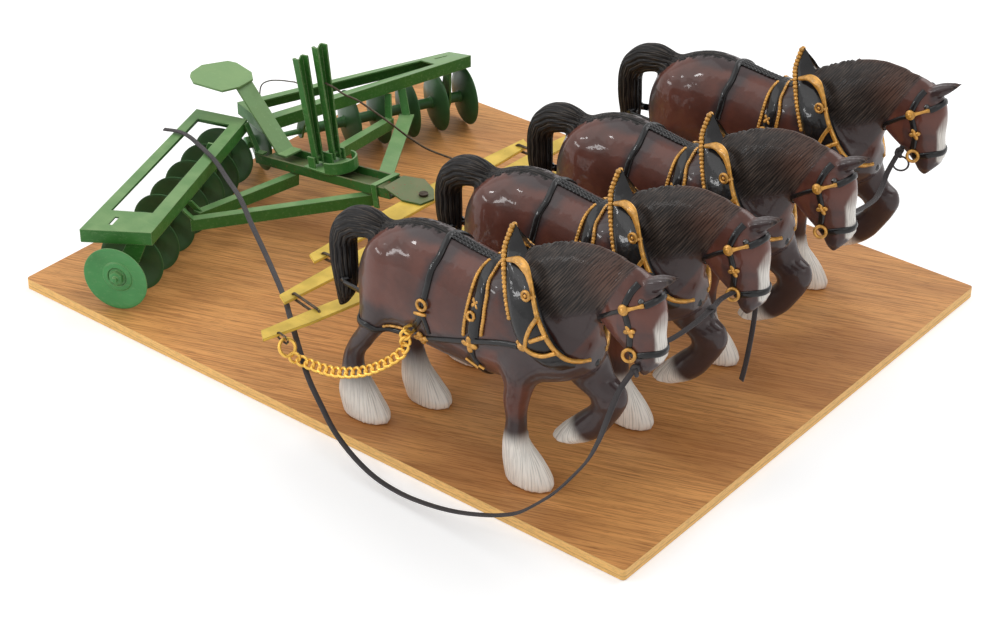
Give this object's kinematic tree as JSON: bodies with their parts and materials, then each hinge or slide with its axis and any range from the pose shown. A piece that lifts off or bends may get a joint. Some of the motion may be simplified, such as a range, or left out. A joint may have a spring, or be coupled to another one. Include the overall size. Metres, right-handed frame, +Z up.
{
  "type": "horse-drawn disc harrow toy",
  "caption": "Green sheet-metal toy disc harrow with two angled disc gangs, seat and levers, drawn by a team of plastic draught horses through yellow evener bars and chains, on a plywood board.",
  "frame": {"origin": "centre of the board's underside", "axes": "+X the way the horses walk, along the board's long side; +Y from the near horse to the far horse; +Z up, square to the board"},
  "size_m": [0.4432, 0.3539, 0.1492],
  "materials": {
    "black_lace": "flat black lace",
    "dark_green": "dark green paint",
    "dark_metal": "darkened steel",
    "gold": "bright gold-coloured chain",
    "green": "worn green paint over red primer",
    "horse": "glossy moulded plastic, hand painted",
    "wood": "stained and lightly varnished plywood",
    "yellow": "worn yellow paint"
  },
  "bodies": {
    "toy": {"base_board": "wood", "horse_1": "horse", "horse_2": "horse", "horse_3": "horse", "horse_4": "horse", "chain_1_near": "gold", "chain_1_far": "gold", "chain_2_near": "gold", "chain_2_far": "gold", "chain_3_near": "gold", "chain_3_far": "gold", "chain_4_near": "gold", "chain_4_far": "gold", "hitch_pin": "dark_metal", "gang_frame_near": "green", "hanger_near_outer": "green", "hanger_near_inner": "green", "gang_frame_far": "green", "hanger_far_outer": "green", "hanger_far_inner": "green", "tongue": "green", "hitch_hook": "green", "brace_near_long": "green", "brace_near_inner": "green", "brace_far_inner": "green", "brace_far_flat": "green", "seat": "green", "frame_tie": "green", "lever_bracket": "green", "lever_wire": "black_lace", "rein_far": "black_lace", "rein_near": "black_lace", "coupling_strap": "black_lace", "hanging_strap": "black_lace", "horse_4_strap": "black_lace"},
    "near_gang": {"disc_near_1": "dark_green", "disc_near_2": "dark_green", "disc_near_3": "dark_green", "disc_near_4": "dark_green", "disc_near_5": "dark_green", "disc_near_6": "dark_green", "disc_near_7": "dark_green", "disc_near_8": "dark_green", "axle_near": "dark_green"},
    "far_gang": {"disc_far_1": "dark_green", "disc_far_2": "dark_green", "disc_far_3": "dark_green", "disc_far_4": "dark_green", "disc_far_5": "dark_green", "disc_far_8": "dark_green", "axle_far": "dark_green"},
    "lever_1": {"lever_1": "green"},
    "lever_2": {"lever_2": "green"},
    "main_evener": {"main_evener": "yellow"},
    "doubletree_1": {"doubletree_1": "yellow"},
    "doubletree_2": {"doubletree_2": "yellow"},
    "singletree_1": {"singletree_1": "yellow"},
    "singletree_2": {"singletree_2": "yellow"},
    "singletree_3": {"singletree_3": "yellow"},
    "singletree_4": {"singletree_4": "yellow"}
  },
  "joints": [
    {"name": "near_gang_spin", "type": "hinge", "parent": "toy", "child": "near_gang", "pos_m": [-0.1468, -0.1525, 0.02565], "axis": [-0.3649, 0.9311, 0], "continuous": true},
    {"name": "far_gang_spin", "type": "hinge", "parent": "toy", "child": "far_gang", "pos_m": [-0.1419, 0.1361, 0.02565], "axis": [-0.4147, -0.91, 0], "continuous": true},
    {"name": "lever_1_turn", "type": "hinge", "parent": "toy", "child": "lever_1", "pos_m": [-0.12804, -0.00987, 0.04666], "axis": [0.0691, 0.9976, 0], "range_deg": [-12, 12], "deforming": ["lever_wire"]},
    {"name": "lever_2_turn", "type": "hinge", "parent": "toy", "child": "lever_2", "pos_m": [-0.12258, -0.00103, 0.04745], "axis": [0.0691, 0.9976, 0], "range_deg": [-12, 10], "deforming": ["rein_far"]},
    {"name": "main_evener_swing", "type": "hinge", "parent": "toy", "child": "main_evener", "pos_m": [-0.046, -0.011, 0.04885], "axis": [0, 0, 1], "range_deg": [-0.25, 0.25]},
    {"name": "doubletree_1_swing", "type": "hinge", "parent": "main_evener", "child": "doubletree_1", "pos_m": [-0.04772, -0.09298, 0.04885], "axis": [0, 0, 1], "range_deg": [-0.6, 0.6]},
    {"name": "doubletree_2_swing", "type": "hinge", "parent": "main_evener", "child": "doubletree_2", "pos_m": [-0.04428, 0.07098, 0.04885], "axis": [0, 0, 1], "range_deg": [-0.6, 0.6]},
    {"name": "singletree_1_swing", "type": "hinge", "parent": "doubletree_1", "child": "singletree_1", "pos_m": [-0.03142, -0.13347, 0.04885], "axis": [0, 0, 1], "range_deg": [-1.2, 1.2]},
    {"name": "singletree_2_swing", "type": "hinge", "parent": "doubletree_1", "child": "singletree_2", "pos_m": [-0.03002, -0.05309, 0.04885], "axis": [0, 0, 1], "range_deg": [-1.2, 1.2]},
    {"name": "singletree_3_swing", "type": "hinge", "parent": "doubletree_2", "child": "singletree_3", "pos_m": [-0.0287, 0.03021, 0.04885], "axis": [0, 0, 1], "range_deg": [-1.2, 1.2]},
    {"name": "singletree_4_swing", "type": "hinge", "parent": "doubletree_2", "child": "singletree_4", "pos_m": [-0.02589, 0.11056, 0.04885], "axis": [0, 0, 1], "range_deg": [-1.2, 1.2]}
  ]
}
